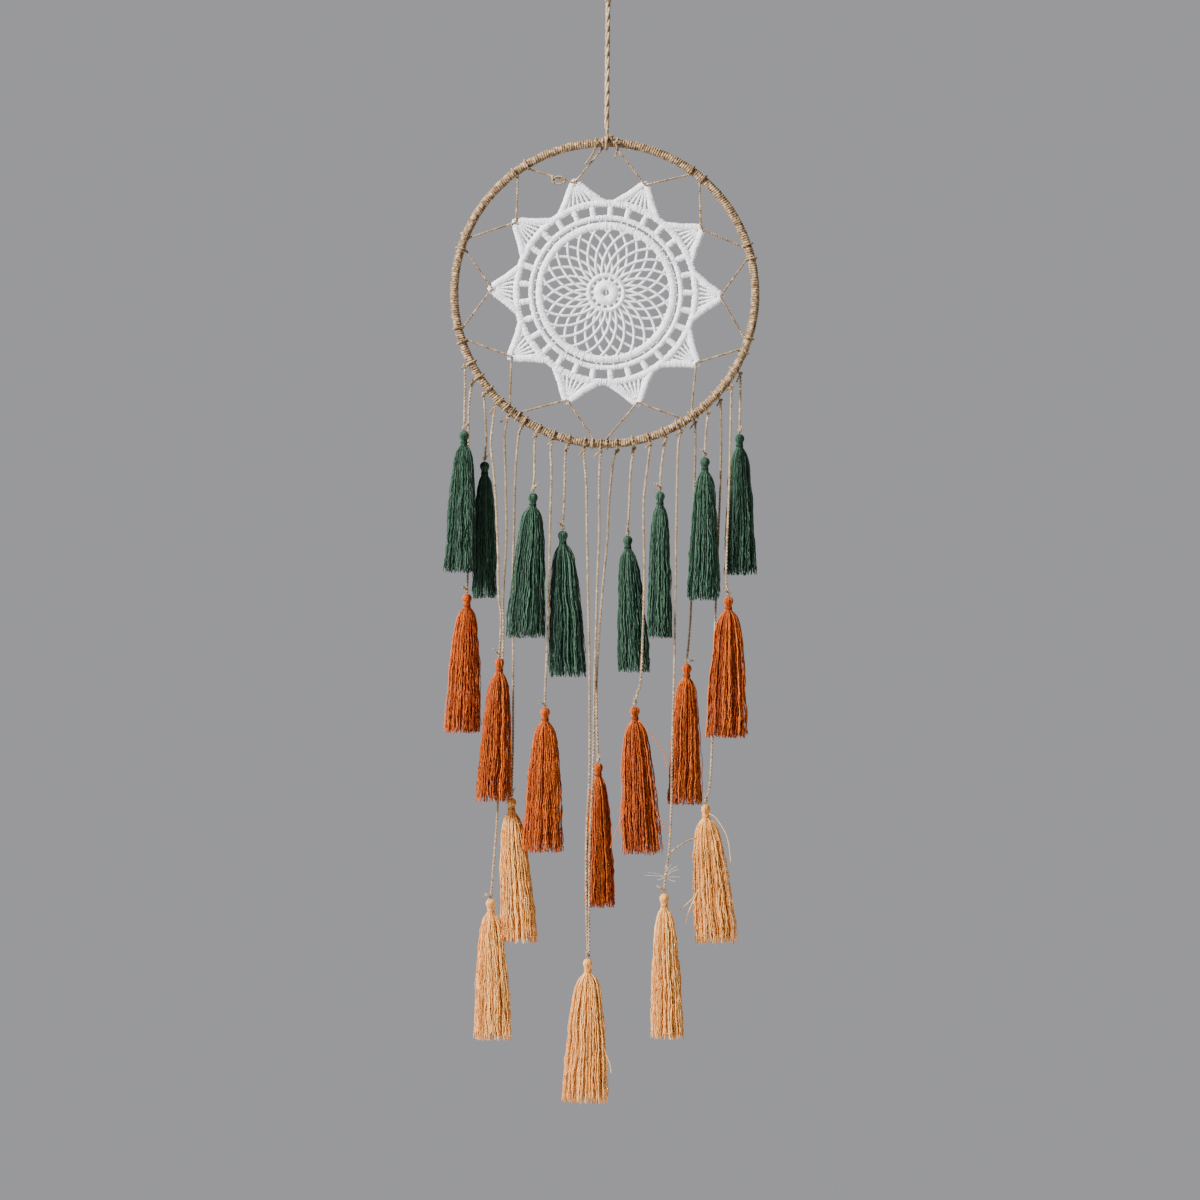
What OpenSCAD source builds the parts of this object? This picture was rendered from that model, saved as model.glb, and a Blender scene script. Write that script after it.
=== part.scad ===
// Tasselled dream catcher: a twine-wrapped ring with a lace star laced into it,
// and tassels hanging from its lower rim on knotted strings.
// The frame's origin is where the hanging loop rests on its nail. +Z is up,
// +X is to the viewer's right and -Y is towards the viewer.

/* [Hoop] */
// Outer diameter of the wrapped hoop
hoop_d = 200; // [160:1:260]
// Diameter of the steel wire inside the wrapping
wire_d = 3; // [2:0.5:4]
// Thickness of the twine wrapping over the wire
wrap_t = 1.4; // [1:0.1:2]

/* [Hanger] */
// Height from the nail down to the middle of the hoop
hang_drop = 225; // [200:1:300]
// Diameter of the doubled hanging cord
hanger_d = 2.8; // [2:0.1:3.2]
// Inside height of the hanging loop
loop_h = 33; // [24:1:45]
// How far the tie sits to the right of the hoop's middle
tie_x = 1.3; // [0:0.1:2]
// Gap between the tie's loop and the wrapping that turns in it
tie_gap = 0.3; // [0.2:0.05:0.5]

/* [Lace star] */
// Distance from the star's middle to a point's tip
star_r = 75.8; // [68:0.2:80]
// Thickness of the lace
lace_t = 1.6; // [1.2:0.1:2.4]
// Number of points
star_points = 10; // [8:1:12]
// Number of windows in the ladder band
ladder_n = 29; // [24:1:32]
// Number of looped threads in the net
net_n = 26; // [20:1:28]
// Width of a net thread
net_w = 1.3; // [1:0.1:1.6]
// Width of the satin border along a point
border_w = 4; // [3:0.1:5]

/* [Lacing] */
// Diameter of the lacing string
lacing_d = 1.2; // [0.8:0.1:1.4]
// Angle between the two ties of a pair on the hoop
lacing_spread = 5.6; // [4.5:0.1:7]

/* [Strings] */
// Diameter of a hanging string
string_d = 1.5; // [1:0.1:1.8]
// Angle between one string's tie and the next, round the hoop
tie_pitch = 6.1; // [5.6:0.05:6.4]
// Diameter of the knot under each tie
knot_d = 3; // [2.6:0.1:3.4]
// Diameter of the knot that a tassel hangs from
end_knot_d = 2.6; // [2:0.1:3]
// How far front strings hang forward, and rear strings back
layer_y = 5; // [4.5:0.1:8]

/* [Tassels] */
// Length of a tassel from the middle of its head to its hem
tassel_l = 88; // [75:1:100]
// Diameter of a tassel's head
head_d = 6.5; // [5.5:0.1:8]
// Diameter of the bound neck
neck_d = 4.3; // [3.6:0.1:5]
// Thickness of the thread bound round the neck
band_t = 0.7; // [0.4:0.1:1]
// Depth of a skirt at its hem, front to back
hem_depth = 13; // [10:0.5:14]
// Share of its full spread that a skirt fills
skirt_fill = 0.9; // [0.7:0.02:0.94]

/* [Hidden] */
JUTE = [0.72, 0.57, 0.40];
STEEL = [0.55, 0.55, 0.56];
WHITE = [0.94, 0.93, 0.94];
GREEN = [0.05, 0.30, 0.19];
RUST = [0.78, 0.34, 0.07];
CREAM = [0.94, 0.71, 0.48];

tube_r = wire_d / 2 + wrap_t;
ring_r = hoop_d / 2 - tube_r;
tie_at = [tie_x, 0, sqrt(pow(ring_r, 2) - pow(tie_x, 2))];
hoop_x = -2;
hoop_at = [hoop_x, 0, -hang_drop];
$fn = 48;

// the tie that the hoop turns in
tie_ring_r = tube_r + tie_gap + hanger_d / 2;
tie_knot_r = 3;
tie_knot_z = tie_at[2] + tie_ring_r + hanger_d / 2 + 1;
knot_gap = 0.4;
stem_from_z = tie_knot_z + tie_knot_r + knot_gap;
// the loop's legs and the cord below both run this far into the loop's knot
knot_sink = 1;
loop_knot_r = 3.4;
loop_knot_z = hang_drop - loop_h - loop_knot_r + knot_sink;
loop_w = 14;
loop_leg_x = 2;

// the lace star
star_at = [0.8, 0, 0.5];
star_turn = -2;
star_step = 360 / star_points;
valley_r = 0.79 * star_r;
outer_band_w = 4.7;
ladder_w = 5.1;
ladder_bar = 4.1;
inner_band_w = 8.2;
ladder_out_r = valley_r - outer_band_w;
ladder_in_r = ladder_out_r - ladder_w;
net_out_r = ladder_in_r - inner_band_w;
net_loop_r = 0.7 * net_out_r;
hub_r = 9.6;
hub_hole_r = 2;
tip_half_w = 1.2;
// the border's slanted sides, as shares of its width along the foot and down from the tip
border_at_foot = 1.1;
border_at_tip = 1.7;
// every second thread of the fan, and the step between neighbours at their feet
FAN = [-4, -2, 0, 2, 4];
fan_step = 2.6;
fan_w = 0.7;
// the lace's parts run this far into each other
lace_lap = 0.5;
// and this closes the corners where they only touch
lace_weld = 0.01;

// the lacing
lacing_r = lacing_d / 2;
bind_ring_r = tube_r + lacing_r - 0.1;
lacing_turn = star_turn + star_step / 2;
lace_hole_r = star_r - 2.2;
// the two legs of a lacing leave the tip this far to either side of its middle
lacing_leg_x = 0.4;

// the ties, strings and tassels
string_r = string_d / 2;
loop_r = tube_r + string_r - 0.1;
knot_r = knot_d / 2;
knot_out = loop_r + string_r + knot_r - 1.3;
knot_tilt_y = 2;
first_angle = -152.5;
end_knot_r = end_knot_d / 2;
layer_fall = 40;
head_r = head_d / 2;
neck_z = head_r + band_t + 0.6;
band_gap = 0.05;
tail_l = 3.2;
tail_r = 0.8 * string_r;
tail_turn = -105;

// Each strand is its name, its tie's number from the left, its layer (1 front,
// -1 rear, 0 middle), its string's points [right, up] from its knot, its skirt's
// lean to the right, its spread at the hem, and how much longer it is than the rest.
STRANDS = [
    ["green_1", 0, 1, [[0, -20], [-0.5, -40]], -2.8, 20.9, -1],
    ["rust_1", 1, -1, [[-2.5, -9], [-3.5, -28], [-4, -80], [-4, -124], [-4.5, -135.5]], -2.9, 24.4, -2],
    ["green_2", 2, -1, [[1, -15], [1.5, -30], [0.5, -41.5]], 0, 16.6, -4],
    ["rust_2", 3, 1, [[-1.5, -12], [-2.5, -26], [0, -50], [2, -90], [2.5, -122], [4, -136], [3, -160.5]],
        -3.9, 23.7, 0],
    ["cream_2", 4, -1, [[-2, -12], [-1.5, -37], [-1, -78], [-3, -115], [-3, -143], [-5, -195],
        [-6.5, -250], [-10, -298], [-11, -309]], 1.5, 25.2, -1],
    ["cream_1", 5, -1, [[-2, -7], [-4, -31], [-5, -72], [-5.5, -87], [-5.5, -136], [-5.5, -200],
        [-6.5, -237.5]], 5, 24.5, 1],
    ["green_3", 6, 1, [[-1, -8], [-1, -26], [-2, -35.5]], -5, 25.9, 1],
    ["rust_3", 7, 1, [[-0.5, -7], [0, -22], [-1, -62], [-2.5, -126], [-4, -160], [-4, -169.5]], -1.8, 27.3, 1],
    ["green_4", 8, 0, [[-1.5, -7], [-2, -30], [-3, -52.5]], 3, 25.2, 2],
    ["cream_3", 9, 1, [[0, -5], [1.5, -24], [2, -57], [3, -114], [3.5, -150], [3.5, -206], [1.5, -250],
        [1.5, -293], [2.5, -326]], -1.5, 31, 1],
    ["rust_4", 11, -1, [[-2.5, -6], [-5.5, -34], [-6.5, -57], [-10, -94], [-12.5, -130], [-13.5, -157],
        [-13, -185], [-12.5, -200]], 1.2, 20.2, 1],
    ["green_5", 12, -1, [[-2, -12], [-3, -34], [-4, -54.5]], 4, 22.3, -4],
    ["rust_5", 13, 1, [[-1.5, -12], [-4.5, -40], [-4, -83], [-6, -148], [-8.5, -160], [-10, -167]], 4.6, 27.4, 3],
    ["green_6", 14, 1, [[-2, -10], [-3.5, -22], [-4, -32.5]], -0.5, 17.3, 2],
    ["cream_4", 15, 1, [[-2, -10], [-3, -48], [-3.5, -77], [-4.5, -149], [-6, -205], [-6.5, -242],
        [-8, -270], [-10.5, -288], [-11, -296]], 2.1, 22.3, 1],
    ["rust_6", 16, -1, [[0, -20], [-0.5, -40], [-2.5, -115], [-4, -140], [-5.5, -154]], -1, 23, -1],
    ["green_7", 17, 1, [[-1.5, -10], [-2.5, -27.5]], -1, 21.6, 0],
    ["cream_5", 18, -1, [[0.5, -20], [0, -54], [-3, -133], [-4.5, -196], [-6.5, -245], [-9.5, -259]], 7.3, 29.5, -2],
    ["rust_7", 19, 1, [[-0.5, -20], [-1.5, -62], [-3.5, -120], [-2, -133]], -1.1, 28, -1],
    ["green_8", 20, -1, [[0, -15], [-0.5, -37]], 0.6, 20.9, -1],
];
// the bottom middle tassel hangs from a second string too, a little in front of its first
SECOND_TIE = 10;
SECOND_LAYER = 1;
SECOND_POINTS = [[-1, -20], [-1, -56], [-2, -77], [-3, -113], [-4, -149], [-5, -206], [-7, -250],
    [-7.5, -293], [-7.5, -324]];
SECOND_FORWARD = 1.2;
// the strand it ends at, and how far right of and above that string's end knot
SECOND_AT = "cream_3";
SECOND_FOOT = [0.78, 1.14];

STRING_NODES = [for (s = STRANDS) str("string_", s[0])];
TASSEL_NODES = [for (s = STRANDS) str("tassel_", s[0])];

// a place on the hoop's own plane, at an angle from its right-hand side
function on_hoop(angle, r) = [r * cos(angle), 0, r * sin(angle)];
function tie_angle(n) = first_angle + tie_pitch * n;
function knot_at(n, layer) = on_hoop(tie_angle(n), ring_r + knot_out) - [0, knot_tilt_y * layer, 0];
// strings spread into their layers over the first stretch below the hoop
function layer_at(layer, forward, fall) =
    -(layer * (layer_y - knot_tilt_y) + forward) * min(1, fall / layer_fall);
function along(n, layer, points, forward = 0) =
    [for (p = points) knot_at(n, layer) + [p[0], layer_at(layer, forward, -p[1]), p[1]]];
function unit(v) = v / norm(v);
function last_of(list) = list[len(list) - 1];
function rim_place(n) = (ring_r + knot_out) * [cos(tie_angle(n)), sin(tie_angle(n))];
// the second string is drawn aside evenly down its fall, so that its foot meets the first
second_to = [for (s = STRANDS) if (s[0] == SECOND_AT) rim_place(s[1]) + last_of(s[3])][0];
second_off = second_to + SECOND_FOOT - rim_place(SECOND_TIE) - last_of(SECOND_POINTS);
second_run = [for (p = SECOND_POINTS) p + second_off * p[1] / last_of(SECOND_POINTS)[1]];
// the ring of a tube at a point: the sides stand square to the run there
function side_ring(at, run, r, sides) =
    let (across = unit(cross(run, [0, 1, 0])), up = unit(cross(across, run)))
    [for (k = [0:sides - 1]) let (a = 360 * k / sides) at + r * (cos(a) * across + sin(a) * up)];
function run_at(points, i) =
    unit(points[min(i + 1, len(points) - 1)] - points[max(i - 1, 0)]);
// the faces of a closed skin over rings of points, with a flat end at each end
function skin_faces(rings, sides) = concat(
    [[for (k = [0:sides - 1]) k]],
    [for (i = [0:rings - 2]) for (k = [0:sides - 1]) let (next = (k + 1) % sides)
        [i * sides + k, (i + 1) * sides + k, (i + 1) * sides + next, i * sides + next]],
    [[for (k = [0:sides - 1]) rings * sides - 1 - k]]);
function flat(lists) = [for (l = lists) for (v = l) v];

// a tube along points, with a radius for each
module tube(points, radii, sides = 8) {
    rings = [for (i = [0:len(points) - 1]) side_ring(points[i], run_at(points, i), radii[i], sides)];
    polyhedron(flat(rings), skin_faces(len(points), sides), convexity = 8);
}

module at_hoop() { translate(hoop_at) children(); }
module in_hoop_plane() { rotate([90, 0, 0]) children(); }
// children are placed as if the hoop's rim ran through them along Y, +X outwards
module on_rim(angle) { rotate([0, -angle, 0]) translate([ring_r, 0, 0]) children(); }
module rim_ring(r, thick) {
    in_hoop_plane() rotate_extrude() translate([r, 0]) circle(thick);
}

// the cord from the tie up to the loop's knot, and the loop over the nail
module hanging_loop() {
    color(JUTE) {
        foot = hoop_at + [tie_x, 0, stem_from_z];
        top = [0, 0, hoop_at[2] + loop_knot_z];
        tube([foot, foot + (top - foot) / 2, top], [hanger_d / 2, hanger_d / 2, hanger_d / 2]);
        bend_r = loop_w / 2;
        legs = [for (side = [-1, 1]) [side * loop_leg_x, 0, knot_sink - loop_h]];
        arc = [for (a = [180:-22.5:0]) [bend_r * cos(a), 0, hanger_d / 2 - bend_r + bend_r * sin(a)]];
        over = concat([legs[0]], arc, [legs[1]]);
        tube(over, [for (p = over) hanger_d / 2]);
    }
}

// the overhand knot that closes the loop
module loop_knot() {
    color(JUTE) translate([0, 0, hoop_at[2] + loop_knot_z + knot_sink]) sphere(loop_knot_r);
}

// the cord's end: a loop round the hoop, closed by a knot above it
module hanger_tie() {
    color(JUTE) at_hoop() {
        translate(tie_at) rotate([0, 90, 0]) rotate_extrude() translate([tie_ring_r, 0]) circle(hanger_d / 2);
        translate([tie_x, 0, tie_knot_z]) sphere(tie_knot_r);
    }
}

module hoop_wire() {
    color(STEEL) at_hoop() rim_ring(ring_r, wire_d / 2);
}

module hoop_wrap() {
    color(JUTE) at_hoop() in_hoop_plane() rotate_extrude($fn = 96) translate([ring_r, 0]) difference() {
        circle(tube_r);
        circle(wire_d / 2);
    }
}

module annulus(outer, inner) {
    difference() {
        circle(outer);
        circle(inner);
    }
}

// one point of the star: a border down both sides and threads fanned from the tip
module star_point() {
    half = star_step / 2;
    foot = valley_r - outer_band_w / 2;
    left = foot * [sin(half), cos(half)];
    right = foot * [-sin(half), cos(half)];
    tip = [0, star_r];
    difference() {
        polygon([left, [tip_half_w, star_r], [-tip_half_w, star_r], right]);
        polygon([left - [border_w * border_at_foot, 0], tip - [0, border_w * border_at_tip],
            right + [border_w * border_at_foot, 0]]);
    }
    for (k = FAN)
        polygon([tip - [fan_w, border_w], tip + [fan_w, -border_w],
            [k * fan_step + fan_w, foot - 2 * lace_lap], [k * fan_step - fan_w, foot - 2 * lace_lap]]);
}

// the white lace star: hub, looped net, two bands with a ladder between, and points
module lace_star() {
    color(WHITE) at_hoop() translate(star_at) in_hoop_plane() linear_extrude(lace_t, center = true) {
        offset(delta = lace_weld) {
            annulus(hub_r, hub_hole_r);
            intersection() {
                annulus(net_out_r + lace_lap, hub_r - 2 * lace_lap);
                union() {
                    for (k = [0:net_n - 1]) rotate(k * 360 / net_n) translate([net_loop_r, 0])
                        annulus(net_loop_r + net_w / 2, net_loop_r - net_w / 2, $fn = 36);
                }
            }
            annulus(ladder_in_r, net_out_r);
            annulus(valley_r, ladder_out_r);
            for (k = [0:ladder_n - 1]) rotate(k * 360 / ladder_n)
                translate([ladder_in_r - lace_lap, -ladder_bar / 2]) square([ladder_w + 2 * lace_lap, ladder_bar]);
            for (k = [0:star_points - 1]) rotate(star_turn - 90 + k * star_step) star_point();
        }
    }
}

// the string that laces each point's tip to two places on the hoop
module lacing() {
    inner_r = ring_r - tube_r - lacing_r;
    color(JUTE) at_hoop() for (k = [0:star_points - 1]) {
        tip = star_at + on_hoop(star_turn + k * star_step, lace_hole_r) - [0, lace_t / 2 + lacing_r, 0];
        for (side = [-1, 1]) {
            end = on_hoop(star_turn + (k + side / 2) * star_step - side * lacing_spread / 2, inner_r);
            tube([tip + lacing_leg_x * side * unit(cross(end - tip, [0, 1, 0])), (tip + end) / 2, end],
                [lacing_r, lacing_r, lacing_r]);
        }
    }
}

// the turns of lacing string round the hoop, two for each gap between points
module lacing_ties() {
    color(JUTE) at_hoop() for (k = [0:star_points - 1]) for (side = [-1, 1])
        on_rim(lacing_turn + k * star_step + side * lacing_spread / 2)
            rotate_extrude() translate([bind_ring_r, 0]) circle(lacing_r, $fn = 24);
}

// a string's loop round the hoop, its knot outside the rim, and the cut tail
module string_tie(n, layer) {
    on_rim(tie_angle(n)) rotate_extrude() translate([loop_r, 0]) circle(string_r, $fn = 24);
    translate(knot_at(n, layer)) rotate([0, tail_turn, 0]) {
        sphere(knot_r, $fn = 24);
        cylinder(h = tail_l, r = tail_r, $fn = 24);
    }
}

module string_ties() {
    color(JUTE) at_hoop() {
        for (s = STRANDS) string_tie(s[1], s[2]);
        string_tie(SECOND_TIE, SECOND_LAYER);
    }
}

// a hanging string from just under its knot down its points
module hanging_string(n, layer, points, forward = 0) {
    run = along(n, layer, points, forward);
    start = knot_at(n, layer) + (knot_r + knot_gap) * unit(run[0] - knot_at(n, layer));
    string = concat([start], run);
    color(JUTE) at_hoop() tube(string, [for (p = string) string_r]);
}

// the heights of a round end knot's rings, from 1 at its crown to its foot
KNOT = [1, 0.6, 0, -0.6, -0.9];

// a string that ends in the knot its tassel hangs from; its last point is that knot's middle
module knotted_string(n, layer, points) {
    run = along(n, layer, points);
    start = knot_at(n, layer) + (knot_r + knot_gap) * unit(run[0] - knot_at(n, layer));
    last = run[len(run) - 1];
    above = [for (i = [0:len(run) - 2]) run[i]];
    knot = [for (z = KNOT) last + [0, 0, end_knot_r * z]];
    color(JUTE) at_hoop() tube(concat([start], above, knot), concat([string_r],
        [for (p = above) string_r], [for (z = KNOT) max(string_r, end_knot_r * sqrt(1 - z * z))]));
}

// half of a skirt's width as a share of its hem, at each share of its length
SKIRT = [[0.085, 0.24], [0.15, 0.5], [0.3, 0.63], [0.5, 0.76], [0.75, 0.88], [1, 1]];
// the heights of the head's rings, from its crown to where the neck begins
HEAD = [0.98, 0.8, 0.45, 0, -0.5, -0.75];
TASSEL_SIDES = 16;

function oval(at, half_w, half_d) = [for (k = [0:TASSEL_SIDES - 1])
    let (a = -360 * k / TASSEL_SIDES) at + [half_w * cos(a), half_d * sin(a), 0]];

// how wide a round head is at a height, from -1 at its foot to 1 at its crown
function head_width(z) = max(z > 0 ? 0 : neck_d / 2, head_r * sqrt(1 - z * z));

// a bundle of yarn: folded head, bound neck, and a skirt that spreads to its hem
module tassel(n, layer, points, lean, spread, extra, tint) {
    run = along(n, layer, points);
    head_at = run[len(run) - 1] - [0, 0, end_knot_r + knot_gap + head_r];
    long = tassel_l + extra;
    head_rings = [for (z = HEAD) oval([0, 0, head_r * z], head_width(z), head_width(z))];
    neck_rings = [for (z = [neck_z - band_t, neck_z + band_t]) oval([0, 0, -z], neck_d / 2, neck_d / 2)];
    skirt_rings = [for (s = SKIRT) oval([lean * s[0], 0, -long * s[0]],
        max(neck_d / 2, spread / 2 * skirt_fill * s[1]), max(neck_d / 2, hem_depth / 2 * s[1]))];
    rings = concat(head_rings, neck_rings, skirt_rings);
    at_hoop() translate(head_at) {
        color(tint) polyhedron(flat(rings), skin_faces(len(rings), TASSEL_SIDES), convexity = 4);
        color(tint) translate([0, 0, -neck_z]) rotate_extrude()
            translate([neck_d / 2 + band_gap, -band_t / 2]) square([band_t, band_t]);
    }
}

hanging_loop();
loop_knot();
hanger_tie();
hoop_wire();
hoop_wrap();
lace_star();
lacing();
lacing_ties();
string_ties();
hanging_string(SECOND_TIE, SECOND_LAYER, second_run, SECOND_FORWARD);  // string_cream_3_second
for (s = STRANDS) {
    tint = s[0][0] == "g" ? GREEN : s[0][0] == "r" ? RUST : CREAM;
    knotted_string(s[1], s[2], s[3]);
    tassel(s[1], s[2], s[3], s[4], s[5], s[6], tint);
}
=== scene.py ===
import math
import random

import bpy
import numpy as np
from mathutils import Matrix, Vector


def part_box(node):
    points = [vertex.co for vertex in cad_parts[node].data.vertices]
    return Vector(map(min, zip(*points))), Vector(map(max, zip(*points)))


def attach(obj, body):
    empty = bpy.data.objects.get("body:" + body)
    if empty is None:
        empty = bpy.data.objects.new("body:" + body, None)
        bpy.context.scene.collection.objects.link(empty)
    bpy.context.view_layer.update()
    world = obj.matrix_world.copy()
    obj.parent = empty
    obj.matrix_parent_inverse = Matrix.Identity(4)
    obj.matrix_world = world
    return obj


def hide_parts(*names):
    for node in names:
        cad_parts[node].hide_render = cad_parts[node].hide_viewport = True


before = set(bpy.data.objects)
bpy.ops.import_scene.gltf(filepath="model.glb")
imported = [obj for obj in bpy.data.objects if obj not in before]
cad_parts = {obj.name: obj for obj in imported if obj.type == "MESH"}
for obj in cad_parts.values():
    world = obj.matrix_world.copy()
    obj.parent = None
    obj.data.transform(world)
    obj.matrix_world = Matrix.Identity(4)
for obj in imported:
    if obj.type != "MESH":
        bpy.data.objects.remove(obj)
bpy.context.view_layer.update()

# The hanging is looked at square on, from a little over two metres away, with its
# nail just above the picture. A strong soft light stands to the upper left, a wide
# weak one fills from the right, and a pale floor lies well below the last hem.

MM = 0.001
EYE_DISTANCE = 2.2
PICTURE_WIDTH = 0.774
AIM = Vector((-0.0051, 0, -0.4227))
FLOOR_Z = -1.12

camera = bpy.data.objects.new("camera", bpy.data.cameras.new("camera"))
camera.data.lens = camera.data.sensor_width * EYE_DISTANCE / PICTURE_WIDTH
camera.location = AIM - Vector((0, EYE_DISTANCE, 0))
camera.rotation_euler = (math.pi / 2, 0, 0)
bpy.context.scene.collection.objects.link(camera)
bpy.context.scene.camera = camera


def soft_light(name, place, size, power):
    light = bpy.data.objects.new(name, bpy.data.lights.new(name, "AREA"))
    light.data.size = size
    light.data.energy = power
    light.location = place
    light.rotation_euler = (AIM - Vector(place)).to_track_quat("-Z", "Y").to_euler()
    bpy.context.scene.collection.objects.link(light)


soft_light("window", (-2.0, -1.3, 1.1), 0.6, 330)
soft_light("room_fill", (1.7, -1.9, -0.2), 1.8, 14)
soft_light("behind", (0.6, 1.8, 0.9), 1.2, 25)

world = bpy.data.worlds.new("studio")
world.use_nodes = True
seen_wall = world.node_tree.nodes["Background"]
seen_wall.inputs["Color"].default_value = (0.35, 0.35, 0.365, 1)
room_glow = world.node_tree.nodes.new("ShaderNodeBackground")
room_glow.inputs["Color"].default_value = (0.10, 0.10, 0.108, 1)
looked_at = world.node_tree.nodes.new("ShaderNodeLightPath")
either = world.node_tree.nodes.new("ShaderNodeMixShader")
world.node_tree.links.new(looked_at.outputs["Is Camera Ray"], either.inputs[0])
world.node_tree.links.new(room_glow.outputs[0], either.inputs[1])
world.node_tree.links.new(seen_wall.outputs[0], either.inputs[2])
world.node_tree.links.new(either.outputs[0], world.node_tree.nodes["World Output"].inputs[0])
bpy.context.scene.world = world

floor_mesh = bpy.data.meshes.new("floor")
floor_mesh.from_pydata(
    [(-1.2, -1.0, FLOOR_Z), (1.2, -1.0, FLOOR_Z), (1.2, 0.45, FLOOR_Z), (-1.2, 0.45, FLOOR_Z)],
    [],
    [(0, 1, 2, 3)],
)
floor = bpy.data.objects.new("floor", floor_mesh)
bpy.context.scene.collection.objects.link(floor)
floor_paint = bpy.data.materials.new("pale_floor")
floor_paint.use_nodes = True
floor_paint.node_tree.nodes["Principled BSDF"].inputs["Base Color"].default_value = (0.72, 0.71, 0.70, 1)
floor_paint.node_tree.nodes["Principled BSDF"].inputs["Roughness"].default_value = 0.9
floor.data.materials.append(floor_paint)


# The hoop's core is a ring of drawn steel wire, bent round and butted. It is quite
# hidden by the twine that is wound over it.


class Socket:
    """One output in a node tree. Arithmetic on it adds Math nodes, node() adds any other."""

    def __init__(self, tree, output=None):
        self.tree = tree
        self.output = output

    def node(self, kind, settings=None, inputs=None, out=0):
        made = self.tree.nodes.new(kind)
        for name, value in (settings or {}).items():
            if name == "stops":
                while len(made.color_ramp.elements) < len(value):
                    made.color_ramp.elements.new(1)
                for element, (place, colour) in zip(made.color_ramp.elements, value):
                    element.position = place
                    element.color = colour
            elif name == "points":
                curve = made.mapping.curves[0]
                while len(curve.points) < len(value):
                    curve.points.new(1, 1)
                for point, (x, y) in zip(curve.points, value):
                    point.location = (x, y)
                made.mapping.update()
            else:
                setattr(made, name, value)
        for name, value in (inputs or {}).items():
            found = made.inputs[name] if isinstance(name, int) else None
            found = found or next(s for s in made.inputs if s.identifier == name or s.name == name)
            for one in value if isinstance(value, list) else [value]:
                if isinstance(one, Socket):
                    self.tree.links.new(one.output, found)
                else:
                    found.default_value = one
        if isinstance(out, str):
            out = next(i for i, s in enumerate(made.outputs) if out in (s.identifier, s.name))
        return Socket(self.tree, made.outputs[out])

    def maths(self, operation, *values):
        return self.node("ShaderNodeMath", {"operation": operation}, dict(enumerate(values)))

    def vector_maths(self, operation, *values):
        return self.node("ShaderNodeVectorMath", {"operation": operation}, dict(enumerate(values)))

    def is_vector(self):
        return self.output.type == "VECTOR"

    def __add__(self, other):
        return (self.vector_maths if self.is_vector() else self.maths)("ADD", self, other)

    __radd__ = __add__

    def __sub__(self, other):
        return (self.vector_maths if self.is_vector() else self.maths)("SUBTRACT", self, other)

    def __rsub__(self, other):
        return self.maths("SUBTRACT", other, self)

    def __mul__(self, other):
        if self.is_vector():
            return self.node("ShaderNodeVectorMath", {"operation": "SCALE"}, {0: self, "Scale": other})
        return self.maths("MULTIPLY", self, other)

    __rmul__ = __mul__

    def __truediv__(self, other):
        return self.maths("DIVIDE", self, other)


def new_material(name, roughness):
    material = bpy.data.materials.new(name)
    material.use_nodes = True
    shader = material.node_tree.nodes["Principled BSDF"]
    shader.inputs["Roughness"].default_value = roughness
    return material, shader, Socket(material.node_tree)


def noise(start, place, scale, detail=2.0):
    return start.node(
        "ShaderNodeTexNoise", None, {"Vector": place, "Scale": scale, "Detail": detail}, "Fac"
    )


def colour_between(start, share, *colours):
    stops = [(i / (len(colours) - 1), (*c, 1)) for i, c in enumerate(colours)]
    return start.node("ShaderNodeValToRGB", {"stops": stops}, {"Fac": share}, "Color")


steel, steel_shader, start = new_material("drawn_steel", 0.35)
steel_shader.inputs["Metallic"].default_value = 1.0
scale_marks = noise(start, start.node("ShaderNodeTexCoord", out="Object"), 900.0, 3.0)
steel.node_tree.links.new(
    colour_between(start, scale_marks, (0.42, 0.42, 0.43), (0.62, 0.62, 0.63)).output,
    steel_shader.inputs["Base Color"],
)
steel.node_tree.links.new((scale_marks * 0.3 + 0.25).output, steel_shader.inputs["Roughness"])
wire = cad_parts["hoop_wire"]
wire.data.materials.clear()
wire.data.materials.append(steel)

wire_low, wire_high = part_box("hoop_wire")
wrap_low, wrap_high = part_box("hoop_wrap")
HOOP_CENTRE = (wire_low + wire_high) / 2
TUBE_R = (wrap_high.y - wrap_low.y) / 2
RING_R = (wrap_high.x - wrap_low.x) / 2 - TUBE_R


# Jute twine is wound round the wire in nearly four hundred close turns, each a little
# slanted and none quite the same, and its ends are glued under. Stray hairs stand off it.

TWINE_D = 1.7 * MM
TWINE_PITCH = 1.55 * MM


def thread_material(name, rough, sheen, specular, *marks):
    """A matt thread material to finish, with its start, its place and the marks on its mesh."""
    material, shader, start = new_material(name, rough)
    shader.inputs["Sheen Weight"].default_value = sheen
    shader.inputs["Specular IOR Level"].default_value = specular
    read = [start.node("ShaderNodeAttribute", {"attribute_name": mark}, out="Fac") for mark in marks]
    return (material, shader), start, start.node("ShaderNodeTexCoord", out="Object"), read


def finish_thread(made, start, value, span, colours, rough, bump):
    """Spread three colours over the value's span, then set how rough and how raised it is."""
    material, shader = made
    tone = start.node(
        "ShaderNodeMapRange", None, {"Value": value, "From Min": span[0], "From Max": span[1]}
    )
    colour = colour_between(start, tone, *colours)
    raised = start.node("ShaderNodeBump", None, dict(zip(("Strength", "Distance", "Height"), bump)))
    for socket, entry in ((colour, "Base Color"), (rough, "Roughness"), (raised, "Normal")):
        material.node_tree.links.new(socket.output, shader.inputs[entry])
    return material


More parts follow.
